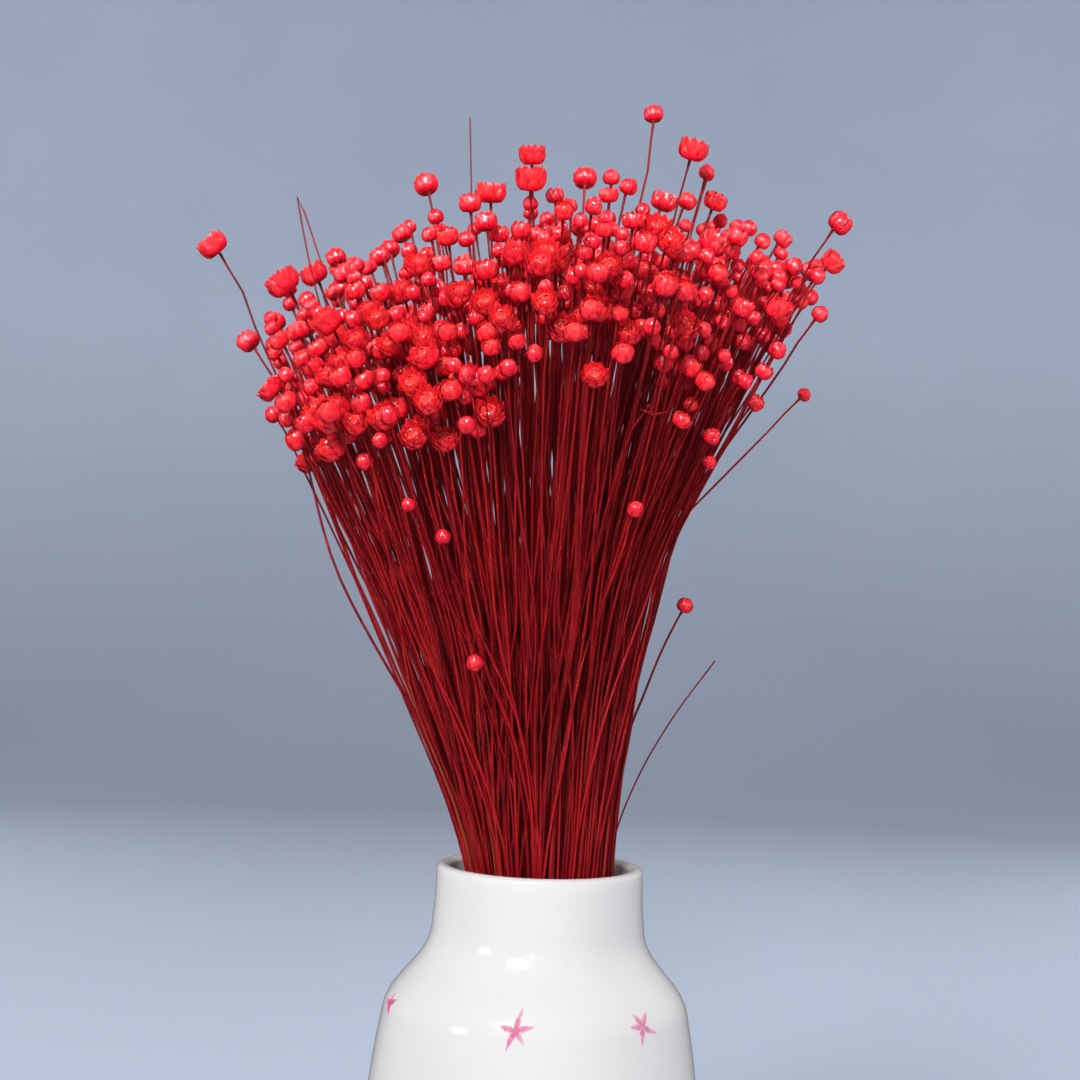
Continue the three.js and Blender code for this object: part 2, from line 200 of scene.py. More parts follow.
# The outline of the body inside the whorls, as (outward, upward).
BODIES = {
    BUD: [(0.12, -0.9), (0.5, -0.78), (0.82, -0.4), (0.89, 0), (0.8, 0.36), (0.5, 0.72), (0, 0.94)],
    HALF_OPEN: [(0.12, -0.9), (0.52, -0.78), (0.86, -0.36), (0.9, 0.1), (0.7, 0.36), (0.4, 0.34), (0, 0.42)],
    OPEN: [(0.12, -0.9), (0.5, -0.78), (0.76, -0.4), (0.6, -0.14), (0.42, -0.04), (0.22, 0.06), (0, 0.08)],
}
BODY_SIDES = 10
BRACT_ROWS = 5
BRACT_COLUMNS = 4
INNER_ROWS = 4
INNER_COLUMNS = 3
BRACT_THICKNESS = 0.05
BRACT_OVERLAP = 0.045
FLORETS = 7

# The camera stands where the photograph was taken from, level and turned a little.
CAMERA_PLACE = (-2.8, -562.0, 246.0)
CAMERA_ROLL = math.radians(-2)
CAMERA_LENS = 50
CAMERA_SENSOR = 24


# The layout of the bunch, by the part's own rule.


def chance(stem, quality):
    """A number from 0 to 1 for one quality of one stem, the same on every run and in the part."""
    whole = 0xFFFFFFFF
    mixed = ((stem + 1) * 374761393 + (quality + SEED) * 668265263) & whole
    mixed = ((mixed ^ (mixed >> 13)) * 1274126177) & whole
    return (mixed ^ (mixed >> 16)) / 4294967296


def around(row, angle):
    """A value from a row that goes round the bunch, eased between its steps."""
    row = np.asarray(row, float)
    place = (np.asarray(angle, float) / TURN) % 1 * len(row)
    first = np.floor(place).astype(int)
    share = 0.5 - 0.5 * np.cos(math.pi * (place - first))
    return row[first % len(row)] * (1 - share) + row[(first + 1) % len(row)] * share


def bunch_radius(angle, z):
    """The bunch's radius at one angle and height."""
    mouth = around(MOUTH_R, angle)
    lean = around(LEAN, angle)
    t = (np.asarray(z, float) - RIM_Z) / 100
    below = WAIST_R + (mouth - WAIST_R) * np.exp(np.minimum(t, 0) * lean / (mouth - WAIST_R))
    above = mouth + lean * t + around(FLARE, angle) * np.maximum(t, 0) ** around(FLARE_POWER, angle)
    return np.where(t < 0, below, above)


def place(u, angle, z):
    """The point at one share of the radius, one angle and one height."""
    radius = u * bunch_radius(angle, z)
    return np.stack(np.broadcast_arrays(radius * np.cos(angle), radius * np.sin(angle), z), axis=-1)


def clamp(value, low, high):
    return min(max(value, low), high)


def bundle_of(u, angle):
    """The bundle a stem belongs to, and its place kept clear of the bundle's edges."""
    ring = max(k for k, row in enumerate(RINGS) if u >= row[1])
    _, start, count = RINGS[ring]
    end = RINGS[ring + 1][1] if ring + 1 < len(RINGS) else 2
    kept = clamp(u, start + STEM_TO_EDGE if ring else 0, end - STEM_TO_EDGE)
    if count == 1:
        return ring, 0, kept, angle
    step = TURN / count
    turned = angle % TURN
    sector = int(turned / step) % count
    middle = (sector + 0.5) * step
    room = step / 2 - math.asin(min(1, STEM_TO_EDGE / kept))
    return ring, sector, kept, middle + clamp(turned - middle, -room, room)


def make_stem(index, u, angle, head_z, radius, kind, given=None):
    """A stem with its head. The head's place is where the splay carries it, unless given."""
    ring, sector, u, angle = bundle_of(u, angle)
    head = place(u, angle, head_z) if given is None else np.array(given, float)
    bend_z = min(RIM_Z + float(around(STRAIGHT_FROM, angle)), head_z - STRAIGHT_LENGTH)
    return dict(
        index=index, ring=ring, sector=sector, u=u, angle=angle, radius=radius, kind=kind,
        fixed=given is not None, bend=place(u, angle, bend_z), head=head,
    )


def stray_stem(index, x, y, height, radius, kind):
    z = RIM_Z + height
    angle = math.atan2(y, x)
    u = min(OUTERMOST, math.hypot(x, y) / float(bunch_radius(angle, z)))
    return make_stem(index, u, angle, z, radius, kind, (x, y, z))


def canopy_top(u, angle):
    fall = u ** float(around(CANOPY_FALL, angle))
    return CANOPY_CENTRE + (float(around(CANOPY_EDGE, angle)) - CANOPY_CENTRE) * fall


def field_stem(index):
    """A stem of the canopy: a sunflower spiral across the bunch, crowded towards the lobe."""
    u = math.sqrt((index + 0.5) / FIELD_STEMS)
    spiral = index * GOLDEN_ANGLE + (0.2 * (chance(index, 1) - 0.5)) / max(u, 0.2)
    angle = spiral - LOBE_CROWDING * math.sin(spiral - LOBE_ANGLE)
    drop = float(around(CANOPY_DEPTH, angle)) * chance(index, 2) ** 1.3
    head_z = RIM_Z + canopy_top(u, angle) - drop
    front = max(0.0, math.cos(angle - LOBE_ANGLE)) * u
    pick = chance(index, 3)
    kind = BUD
    if pick < 0.5 + 0.25 * front:
        kind = HALF_OPEN
    if pick < 0.1 + 0.3 * front:
        kind = OPEN
    radius = HEAD_R[kind] + HEAD_R_SPREAD[kind] * chance(index, 4)
    return make_stem(len(STRAYS) + index, min(u, OUTERMOST), angle, head_z, radius, kind)


def small_bud_stem(number):
    """A small bud low in the canopy, of the stems that only the looks have.

    Every other one is crowded towards the lobe, and the rest to the front on the right."""
    index = len(STRAYS) + FIELD_STEMS + number
    u = math.sqrt(chance(index, 1)) * OUTERMOST
    angle = TURN * chance(index, 2)
    towards, crowding = SMALL_BUD_CROWDING[number % 2]
    angle -= crowding * math.sin(angle - towards)
    drop = float(around(CANOPY_DEPTH, angle)) * (0.15 + 0.85 * chance(index, 3))
    radius = SMALL_BUD_R + SMALL_BUD_R_SPREAD * chance(index, 4)
    kind = BUD if chance(index, 8) < SMALL_BUD_CLOSED_SHARE else HALF_OPEN
    return make_stem(index, u, angle, RIM_Z + canopy_top(u, angle) - drop, radius, kind)


def bare_stem(number):
    """A stem that lost its head, and ends somewhere under the canopy."""
    index = len(STRAYS) + FIELD_STEMS + SMALL_BUDS + number
    u = math.sqrt(chance(index, 1)) * OUTERMOST
    angle = TURN * chance(index, 2)
    share = 0.62 + 0.36 * chance(index, 3)
    return make_stem(index, u, angle, RIM_Z + share * canopy_top(u, angle), 0.0, BUD)


def settle(stems, rounds=90, head_gap=0.4, stem_gap=0.9, share=0.35):
    """Pushes heads away from each other and from the stems that pass them, round by round.

    Heads that are fixed stay. Where it is crowded, some still overlap after the last round."""
    head = np.array([stem["head"] for stem in stems])
    bend = np.array([stem["bend"] for stem in stems])
    radius = np.array([stem["radius"] for stem in stems])
    free = np.array([not stem["fixed"] for stem in stems], float)[:, None]
    z = head[:, 2]
    lower = z[:, None] < z[None, :]
    rise = z[None, :] - z[:, None]
    t = (z[:, None] - bend[None, :, 2]) / (z - bend[:, 2])[None, :]
    reach = radius[:, None] + radius[None, :] + head_gap
    beside = np.sqrt(np.maximum(0, reach ** 2 - rise ** 2))
    needed = np.maximum(radius[:, None] + stem_gap, beside)
    for _ in range(rounds):
        passing = bend[None, :, :2] + (head - bend)[None, :, :2] * t[:, :, None]
        apart = head[:, None, :2] - passing
        distance = np.hypot(apart[..., 0], apart[..., 1]) + 1e-9
        gap = np.where(lower, needed - distance, 0)
        push = (np.maximum(gap, 0) * share / distance)[:, :, None] * apart
        head[:, :2] += free * (push.sum(axis=1) - push.sum(axis=0))
    for stem, moved in zip(stems, head):
        stem["head"] = moved


def head_axes(stem):
    """The way a head faces, and the two directions across it."""
    straight = stem["head"] - stem["bend"]
    straight /= np.linalg.norm(straight)
    outward = np.array([math.cos(stem["angle"]), math.sin(stem["angle"]), 0.0])
    loose = np.array([chance(stem["index"], 5) - 0.5, chance(stem["index"], 6) - 0.5, 0.0])
    axis = straight + outward * NOD[stem["kind"]] * stem["u"] + loose * NOD_SPREAD
    axis /= np.linalg.norm(axis)
    twist = TURN * chance(stem["index"], 7)
    first = np.array([math.cos(twist), math.sin(twist), 0.0])
    first -= axis * (first @ axis)
    first /= np.linalg.norm(first)
    return axis, first, np.cross(axis, first)


# Meshes.


class Shape:
    """Points in millimetres, faces, and the values that the materials read, for one piece.

    A mark is (along, across, tone): from base to tip, from edge to edge and by the piece.
    Depth is 0 on the outside of a head and 1 in its middle."""

    def __init__(self):
        self.points, self.marks, self.depths, self.faces, self.count = [], [], [], [], 0

    def add(self, points, marks, depth, faces):
        points = np.asarray(points, float).reshape(-1, 3)
        self.points.append(points)
        self.marks.append(np.asarray(marks, float).reshape(-1, 3))
        self.depths.append(np.full(len(points), depth, float))
        self.faces.extend((np.asarray(face) + self.count).tolist() for face in faces)
        self.count += len(points)

    def piece(self, name, material, slot, sharp_angle=50):
        """The shape as a mesh object that rides on the one body."""
        mesh = bpy.data.meshes.new(name)
        faces = [corners for group in self.faces for corners in group]
        mesh.from_pydata(np.concatenate(self.points) * MM, [], faces)
        marks = mesh.attributes.new("mark", "FLOAT_VECTOR", "POINT")
        marks.data.foreach_set("vector", np.concatenate(self.marks).astype(np.float32).ravel())
        depths = mesh.attributes.new("depth", "FLOAT", "POINT")
        depths.data.foreach_set("value", np.concatenate(self.depths).astype(np.float32))
        mesh.shade_smooth()
        mesh.set_sharp_from_angle(angle=math.radians(sharp_angle))
        mesh.materials.append(material)
        piece = bpy.data.objects.new(name, mesh)
        bpy.context.scene.collection.objects.link(piece)
        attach(piece, "root")
        return piece


def spline(points, steps):
    """A smooth line through points, with this many steps between each two."""
    p = np.asarray(points, float)
    p = np.concatenate([[2 * p[0] - p[1]], p, [2 * p[-1] - p[-2]]])
    t = np.linspace(0, 1, steps, endpoint=False)[:, None]
    parts = []
    for a, b, c, d in zip(p, p[1:], p[2:], p[3:]):
        parts.append(0.5 * (2 * b + (c - a) * t + (2 * a - 5 * b + 4 * c - d) * t ** 2
                            + (3 * b - a - 3 * c + d) * t ** 3))
    return np.concatenate([*parts, p[-2:-1]])


def blade_faces(rows, columns):
    """Faces of a thin closed blade: two sides that share their base, their edges and their tip.

    The points are the outer side row by row, the tip, and then the inner side's own points."""
    outer = np.arange(rows * columns).reshape(rows, columns)
    tip = rows * columns
    inner = outer.copy()
    inner[1:, 1:-1] = tip + 1 + np.arange((rows - 1) * (columns - 2)).reshape(rows - 1, columns - 2)
    quads, tris = [], []
    for side, order in ((outer, 1), (inner, -1)):
        for i in range(rows - 1):
            for j in range(columns - 1):
                quad = [side[i, j], side[i, j + 1], side[i + 1, j + 1], side[i + 1, j]]
                quads.append(quad[::order])
        for j in range(columns - 1):
            tris.append([side[-1, j], side[-1, j + 1], tip][::order])
    return np.array(quads), np.array(tris)


def add_blades(shape, outer, inner, tip, marks, tip_marks, depth):
    """Adds n blades at once. outer and inner are n x rows x columns x 3, and tip is n x 3."""
    n, rows, columns, _ = outer.shape

    def joined(outside, end, inside):
        own = inside[:, 1:, 1:-1].reshape(n, -1, 3)
        return np.concatenate([outside.reshape(n, -1, 3), end[:, None], own], axis=1)

    points = joined(outer, tip, inner)
    starts = np.arange(n)[:, None, None] * points.shape[1]
    faces = [(group[None] + starts).reshape(-1, group.shape[1]) for group in blade_faces(rows, columns)]
    shape.add(points, joined(marks, tip_marks, marks), depth, faces)


def ring_faces(rings, sides):
    """Quads between rings of as many points each."""
    k = np.arange(sides)
    after = (k + 1) % sides
    quads = np.stack([k, after, after + sides, k + sides], axis=1)
    return (quads[None] + np.arange(rings - 1)[:, None, None] * sides).reshape(-1, 4)


def lathe(shape, profile, sides, depth=0.0, tone=0.0, across=0.0, to_place=None):
    """Adds a closed turned form. The profile goes up the outside from pole to pole or from
    a ring that is closed flat. A point on the axis is a pole."""
    profile = np.asarray(profile, float)
    turn = np.arange(sides) / sides * TURN
    open_rings = profile[profile[:, 0] > 0]
    points = np.stack([
        open_rings[:, :1] * np.cos(turn), open_rings[:, :1] * np.sin(turn),
        np.repeat(open_rings[:, 1:], sides, axis=1),
    ], axis=-1).reshape(-1, 3)
    faces = [ring_faces(len(open_rings), sides)]
    k = np.arange(sides)
    last = (len(open_rings) - 1) * sides
    poles = [[0, 0, open_rings[0, 1]], [0, 0, open_rings[-1, 1]]]
    if profile[-1, 0] == 0:
        poles[1][2] = profile[-1, 1]
    points = np.concatenate([points, poles])
    low, high = len(points) - 2, len(points) - 1
    faces.append(np.stack([(k + 1) % sides, k, np.full(sides, low)], axis=1))
    faces.append(np.stack([last + k, last + (k + 1) % sides, np.full(sides, high)], axis=1))
    along = np.interp(points[:, 2], [profile[:, 1].min(), profile[:, 1].max()], [0, 1])
    marks = np.stack([along, np.full(len(points), across), np.full(len(points), tone)], axis=1)
    shape.add(points if to_place is None else to_place(points), marks, depth, faces)


def add_tubes(shape, paths, radii, tones, sides=STEM_SIDES):
    """Adds closed tubes. paths is n x points x 3, and radii is n x points."""
    n, count, _ = paths.shape
    tangent = np.gradient(paths, axis=1)
    tangent /= np.linalg.norm(tangent, axis=2, keepdims=True)
    sideways = np.broadcast_to([0.0, 1.0, 0.0], paths.shape)
    first = sideways - tangent * (sideways * tangent).sum(axis=2, keepdims=True)
    first /= np.linalg.norm(first, axis=2, keepdims=True)
    second = np.cross(tangent, first)
    turn = (np.arange(sides) / sides * TURN)[None, None, :, None]
    ring = first[:, :, None] * np.cos(turn) + second[:, :, None] * np.sin(turn)
    points = paths[:, :, None] + ring * radii[:, :, None, None]
    along = np.broadcast_to(((paths[:, :, 2] - RIM_Z) / 200)[:, :, None], points.shape[:3])
    across = np.broadcast_to(np.linspace(-1, 1, sides)[None, None], points.shape[:3])
    tone = np.broadcast_to(np.asarray(tones)[:, None, None], points.shape[:3])
    starts = np.arange(n)[:, None, None] * (count * sides)
    walls = (ring_faces(count, sides)[None] + starts).reshape(-1, 4)
    bottoms = np.arange(sides)[::-1][None] + starts[:, :, 0]
    tops = np.arange(sides)[None] + (count - 1) * sides + starts[:, :, 0]
    shape.add(points, np.stack([along, across, tone], axis=-1), 0.0, [walls, bottoms, tops])


def bezier(controls, t):
    """Points of n cubic curves, given as n x 4 x 2, at the values t."""
    t = t[None, :, None]
    a, b, c, d = (controls[:, k, None] for k in range(4))
    return a * (1 - t) ** 3 + 3 * b * t * (1 - t) ** 2 + 3 * c * t * t * (1 - t) + d * t ** 3


def bract_width(t):
    """How wide a bract is along its length: broad nearly to its end, with a short tip."""
    return (1 - t ** 3) ** 0.8 * (0.65 + 0.5 * t)


def add_whorl(shape, rng, whorl, tone, to_place):
    """Adds one whorl of bracts. Each hugs the head, and lies over one neighbour and under the other."""
    n = whorl["count"]
    fine = whorl["depth"] < 0.7
    rows, columns = (BRACT_ROWS, BRACT_COLUMNS) if fine else (INNER_ROWS, INNER_COLUMNS)
    controls = np.repeat(np.array(whorl["curve"], float)[None], n, axis=0)
    controls[:, 3] += rng.normal(0, 0.045, (n, 2))
    controls[:, 2] += rng.normal(0, 0.035, (n, 2))
    t = np.linspace(0, 1, rows + 1) ** 0.75
    curve = bezier(controls, t)
    slope = np.gradient(curve, axis=1)
    slope /= np.linalg.norm(slope, axis=2, keepdims=True)
    normal = np.stack([slope[..., 1], -slope[..., 0]], axis=-1)
    middle = rng.uniform(0, TURN) + np.arange(n) / n * TURN + rng.normal(0, 0.07, n)
    width = whorl["width"] * rng.uniform(0.9, 1.12, (n, 1)) * bract_width(t)[None]
    width = width * rng.uniform(0.94, 1.06, width.shape)
    s = np.linspace(-1, 1, columns)[None, None, :]
    out = curve[..., 0][:, :, None]
    up = curve[..., 1][:, :, None]
    angle = middle[:, None, None] + s * np.clip(width[:, :, None] / np.maximum(out, 0.3), 0, 1.3)
    lift = BRACT_OVERLAP * s - 0.05 * s * s * t[None, :, None]

    def side(thickness):
        off = lift + thickness * (1 - s * s)
        away = out + normal[..., 0][:, :, None] * off
        high = up + normal[..., 1][:, :, None] * off
        return np.stack([away * np.cos(angle), away * np.sin(angle), high], axis=-1)

    outer, inner = side(BRACT_THICKNESS / 2), side(-BRACT_THICKNESS / 2)
    tip = side(0.0)[:, -1].mean(axis=1)
    marks = np.stack(np.broadcast_arrays(t[None, :-1, None], s, tone + 0 * angle[:, :-1]), axis=-1)
    tip_marks = np.broadcast_to([1.0, 0.0, tone], (n, 3))
    add_blades(shape, to_place(outer[:, :-1]), to_place(inner[:, :-1]), to_place(tip),
               marks, tip_marks, whorl["depth"])


def add_florets(shape, rng, tone, to_place):
    """Adds the tiny florets in the middle of an open head, as small blunt cones."""
    for k in range(FLORETS):
        turn = k * GOLDEN_ANGLE
        out = 0.3 * math.sqrt((k + 0.3) / FLORETS)
        foot = np.array([out * math.cos(turn), out * math.sin(turn), 0.0])
        size = rng.uniform(0.075, 0.105)
        profile = [(size, 0.0), (size * 0.9, 0.18), (size * 0.4, 0.28), (0, 0.29)]
        lathe(shape, profile, 5, 1.0, tone, 0.0, lambda p, foot=foot: to_place(p + foot))


def add_head(shape, stem):
    """Adds a whole head: body, whorls and florets, each head a little different."""
    axis, first, second = head_axes(stem)
    rng = np.random.default_rng(stem["index"])
    size = stem["radius"]
    stretch = np.array([rng.uniform(0.93, 1.01), rng.uniform(0.93, 1.01), rng.uniform(0.92, 1.03)])
    basis = np.stack([first, second, axis]) * size
    kind = stem["kind"]
    tone = rng.uniform(0, 0.6) + (0.4 if kind == BUD else 0.0)

    def to_place(points):
        return (points * stretch) @ basis + stem["head"]

    # The body's depth sets how far the heads' material lightens it, partly as painted light.
    lathe(shape, BODIES[kind], BODY_SIDES, 1.0 if kind == OPEN else 0.9, tone, 0.0, to_place)
    for whorl in WHORLS[kind]:
        add_whorl(shape, rng, whorl, tone, to_place)
    if kind == OPEN:
        add_florets(shape, rng, tone, to_place)


def stem_path(stem, bow):
    """The middle line of a stem, from just above the vase's floor to the neck of its head."""
    index = stem["index"]
    axis = head_axes(stem)[0]
    neck = stem["head"] + axis * NECK_HEIGHT * stem["radius"]
    low = np.array(LOWER_POINTS, float) + RIM_Z
    heights = np.concatenate([low, np.linspace(low[-1], stem["bend"][2], BEND_STEPS + 1)[1:]])
    swing = (TWIST if chance(index, 11) < TWISTED_SHARE else SLIGHT_TWIST) * (2 * chance(index, 12) - 1)
    untwisted = np.clip((heights - low[0]) / (heights[-1] - low[0]), 0, 1)
    angles = stem["angle"] + swing * np.cos(math.pi / 2 * untwisted ** 2)
    lower = place(stem["u"], angles, heights)
    shares = np.array(UPPER_POINTS)[:, None]
    upper = stem["bend"] + (neck - stem["bend"]) * shares
    turned_in = np.clip((shares - TURN_IN_FROM) / (1 - TURN_IN_FROM), 0, 1)
    along_axis = neck - axis * (1 - shares) * np.linalg.norm(neck - stem["bend"])
    upper = upper + (along_axis - upper) * turned_in * (1 - turned_in) * 1.2
    path = np.concatenate([lower, upper])
    smooth = path.copy()
    smooth[1:-1] = (path[:-2] + 2 * path[1:-1] + path[2:]) / 4
    path[len(heights) - 3:len(heights) + 3] = smooth[len(heights) - 3:len(heights) + 3]
    height = np.clip((path[:, 2] - RIM_Z) / (neck[2] - RIM_Z), 0, 1)
    swell = np.sin(math.pi * height)
    for side, (quality, waves) in enumerate(WAVES):
        size = WAVE * (chance(index, quality) + 0.25)
        phase = TURN * chance(index, quality + 2)
        path[:, side] += size * swell * np.sin(TURN * waves * height + phase)
        path[:, side] += SWAY * (chance(index, quality + 4) - 0.5) * 2 * swell ** 2
    if bow is not None:
        outward = np.array([math.cos(stem["angle"]), math.sin(stem["angle"]), 0.0])
        sideways = np.array([-outward[1], outward[0], 0.0])
        path += (outward * bow[0] + sideways * bow[1]) * np.sin(math.pi * height[:, None] ** 1.35) ** 2
    return path


def stem_radii(stem, count):
    """A stem's radius at each of its points. It widens a little into the base of its head."""
    thick = 0.88 + 0.28 * chance(stem["index"], 9)
    radii = np.linspace(STEM_R, STEM_TOP_R, count) * thick
    if stem["radius"] > 0:
        radii[-1] = STEM_TOP_R * 1.5
    return radii


def bunch():
    """All stems: those of the part, settled as there, and then the ones that only the looks have."""
    held = [stray_stem(index, *row) for index, row in enumerate(STRAYS)]
    held += [field_stem(index) for index in range(FIELD_STEMS)]
    settle(held)
    for stem in held:
        stem["fixed"] = True
    added = [small_bud_stem(number) for number in range(SMALL_BUDS)]
    settle(held + added)
    added += [bare_stem(number) for number in range(BARE_STEMS)]
    return held + added


def bows_of(stems):
    """Which stem bows out, by the head that lies nearest to each place named."""
    bows = {}
    for target, outward, sideways in BOWED:
        place_of = np.array(target, float) + UP * RIM_Z
        near = min((stem for stem in stems if stem["radius"] > 0),
                   key=lambda stem: np.linalg.norm(stem["head"] - place_of))
        bows[near["index"]] = (outward, sideways)
    return bows


def loose_paths():
    """The middle lines of the stems with a route of their own, all with as many points."""
    count = 48
    paths = []
    for route in LOOSE_ROUTES:
        line = spline(np.array(route, float) + UP * RIM_Z, 12)
        length = np.concatenate([[0], np.cumsum(np.linalg.norm(np.diff(line, axis=0), axis=1))])
        at = np.linspace(0, length[-1], count)
        paths.append(np.stack([np.interp(at, length, line[:, k]) for k in range(3)], axis=1))
    return np.array(paths)


# The vase and its painted stars.


def vase_profile():
    """The turned outline: foot, outside, lip, inside and floor, and the outside alone."""
    half = (LIP_R - MOUTH_INNER_R) / 2
    lip_z = RIM_Z - LIP_ROUND
    outside = spline([(FOOT_R, FOOT_ROUND), *VASE_OUTSIDE, (LIP_R, lip_z)], STEPS_BETWEEN_POINTS)
    turn = np.linspace(0, math.pi, 11)[1:-1]
    lip = np.stack([MOUTH_INNER_R + half + half * np.cos(turn), lip_z + LIP_ROUND * np.sin(turn)], axis=1)
    inside = spline([(MOUTH_INNER_R, lip_z), *VASE_INSIDE[::-1]], STEPS_BETWEEN_POINTS)
    foot = [(FOOT_R - FOOT_ROUND, 0.0), (FOOT_R - 0.25, 0.25)]
    return np.concatenate([foot, outside, lip, inside, [(0, FLOOR_Z)]]), outside


def make_vase(material):
    shape = Shape()
    lathe(shape, vase_profile()[0], VASE_SIDES)
    vase = shape.piece("vase_glazed", material, "glaze", sharp_angle=60)
    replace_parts(vase, "vase")


def make_stars(material):
    """Brush strokes in stars of five, laid on the vase's outside as thin films of paint."""
    outside = vase_profile()[1]
    shape = Shape()
    rng = np.random.default_rng(SEED)
    t = np.linspace(0, 1, STROKE_ROWS + 1)
    s = np.linspace(-1, 1, STROKE_COLUMNS)
    for place_deg, turn_deg in zip(STAR_PLACES, STAR_TURNS):
        tone = rng.uniform(0, 1)
        size = rng.uniform(0.75, 1.05)
        for k in range(STROKES):
            heading = math.radians(turn_deg + 90 + 360 * k / STROKES + rng.uniform(-9, 9))
            length = STROKE_LENGTH * size * rng.uniform(0.7, 1.1)
            bend = rng.uniform(-STROKE_BEND, STROKE_BEND)
            width = STROKE_WIDTH / 2 * rng.uniform(0.75, 1.2) * (1 - t ** 4) ** 0.7
            width = width * rng.uniform(0.9, 1.08, width.shape) * (0.55 + 0.45 * np.minimum(1, 3 * t))
            go = STROKE_START + t[:, None] * length
            aside = width[:, None] * s[None] + bend * t[:, None] ** 2
            right = go * math.cos(heading) - aside * math.sin(heading)
            high = STAR_Z + go * math.sin(heading) + aside * math.cos(heading)
            wall = np.interp(high, outside[:, 1], outside[:, 0])
            angle = math.radians(place_deg - 90) + right / wall

            def side(lift):
                reach = wall + lift
                return np.stack([reach * np.cos(angle), reach * np.sin(angle), high], axis=-1)[None]

            film = STROKE_LIFT + STROKE_THICKNESS * (1 - s[None] ** 2) - STROKE_EDGE_DIP * s[None] ** 2
            outer, inner = side(film), side(film * 0 - STROKE_EDGE_DIP)
            inner[:, :, 0], inner[:, :, -1] = outer[:, :, 0], outer[:, :, -1]
            marks = np.stack(np.broadcast_arrays(t[:-1, None], s[None], tone), axis=-1)[None]
            add_blades(shape, outer[:, :-1], inner[:, :-1], outer[:, -1, STROKE_COLUMNS // 2],
                       marks, np.array([[1.0, 0.0, tone]]), 0.0)
    shape.piece("painted_stars", material, "star_paint", sharp_angle=80)


# Materials. All are made of nodes.


class Nodes:
    """A material's node tree, with short ways to add to it."""

    def __init__(self, name):
        self.material = bpy.data.materials.new(name)
        self.material.use_nodes = True
        self.tree = self.material.node_tree
        self.shader = self.tree.nodes["Principled BSDF"]

    def add(self, kind, **values):
        node = self.tree.nodes.new(kind)
        for key, value in values.items():
            setattr(node, key, value)
        return node

    def link(self, source, target):
        self.tree.links.new(source, target)

    def set(self, **values):
        """Sets the shader's own sockets, named with _ for a space."""
        for key, value in values.items():
            self.shader.inputs[key.replace("_", " ")].default_value = value

    def place(self):
        return self.add("ShaderNodeTexCoord").outputs["Object"]

    def noise(self, scale, detail=3.0, rough=0.5, stretch=None):
        """Noise by the place on the object, in lumps of about 1 / scale metres."""
        node = self.add("ShaderNodeTexNoise")
        node.inputs["Scale"].default_value = scale
        node.inputs["Detail"].default_value = detail
        node.inputs["Roughness"].default_value = rough
        source = self.place()
        if stretch is not None:
            mapping = self.add("ShaderNodeMapping")
            mapping.inputs["Scale"].default_value = stretch
            self.link(source, mapping.inputs["Vector"])
            source = mapping.outputs["Vector"]
        self.link(source, node.inputs["Vector"])
        return node.outputs["Fac"]

    def mark(self):
        """Along, across and tone, as the mesh carries them."""
        split = self.add("ShaderNodeSeparateXYZ")
        self.link(self.add("ShaderNodeAttribute", attribute_name="mark").outputs["Vector"], split.inputs[0])
        return split.outputs[0], split.outputs[1], split.outputs[2]

    def height(self):
        split = self.add("ShaderNodeSeparateXYZ")
        self.link(self.place(), split.inputs[0])
        return split.outputs[2]

    def depth(self):
        return self.add("ShaderNodeAttribute", attribute_name="depth").outputs["Fac"]

    def math(self, operation, a, b=None, clamp_it=False):
        node = self.add("ShaderNodeMath", operation=operation, use_clamp=clamp_it)
        for socket, value in zip(node.inputs, (a, b)):
            if value is None:
                continue
            if isinstance(value, (int, float)):
                socket.default_value = value
            else:
                self.link(value, socket)
        return node.outputs[0]

    def ramp(self, source, stops):
        """A colour ramp over (position, colour) stops."""
        node = self.add("ShaderNodeValToRGB")
        while len(node.color_ramp.elements) < len(stops):
            node.color_ramp.elements.new(0.5)
        for element, (position, colour) in zip(node.color_ramp.elements, stops):
            element.position = position
            element.color = (*colour, 1)
        self.link(source, node.inputs[0])
        return node.outputs["Color"]

    def mix(self, share, a, b, blend="MIX"):
        node = self.add("ShaderNodeMix", data_type="RGBA", blend_type=blend)
        for socket, value in ((node.inputs[0], share), (node.inputs[6], a), (node.inputs[7], b)):
            if isinstance(value, (int, float)):
                socket.default_value = value
            elif isinstance(value, tuple):
                socket.default_value = (*value, 1)
            else:
                self.link(value, socket)
        return node.outputs[2]

    def spread(self, source, low, high, from_low=0.0, from_high=1.0):
        node = self.add("ShaderNodeMapRange")
        limits = {"From Min": from_low, "From Max": from_high, "To Min": low, "To Max": high}
        for name, value in limits.items():
            node.inputs[name].default_value = value
        self.link(source, node.inputs["Value"])
        return node.outputs["Result"]

    def bump(self, height, distance, strength=1.0):
        node = self.add("ShaderNodeBump")
        node.inputs["Distance"].default_value = distance
        node.inputs["Strength"].default_value = strength
        self.link(height, node.inputs["Height"])
        self.link(node.outputs["Normal"], self.shader.inputs["Normal"])

    def colour(self, source):
        self.link(source, self.shader.inputs["Base Color"])

    def rough(self, source):
        self.link(source, self.shader.inputs["Roughness"])


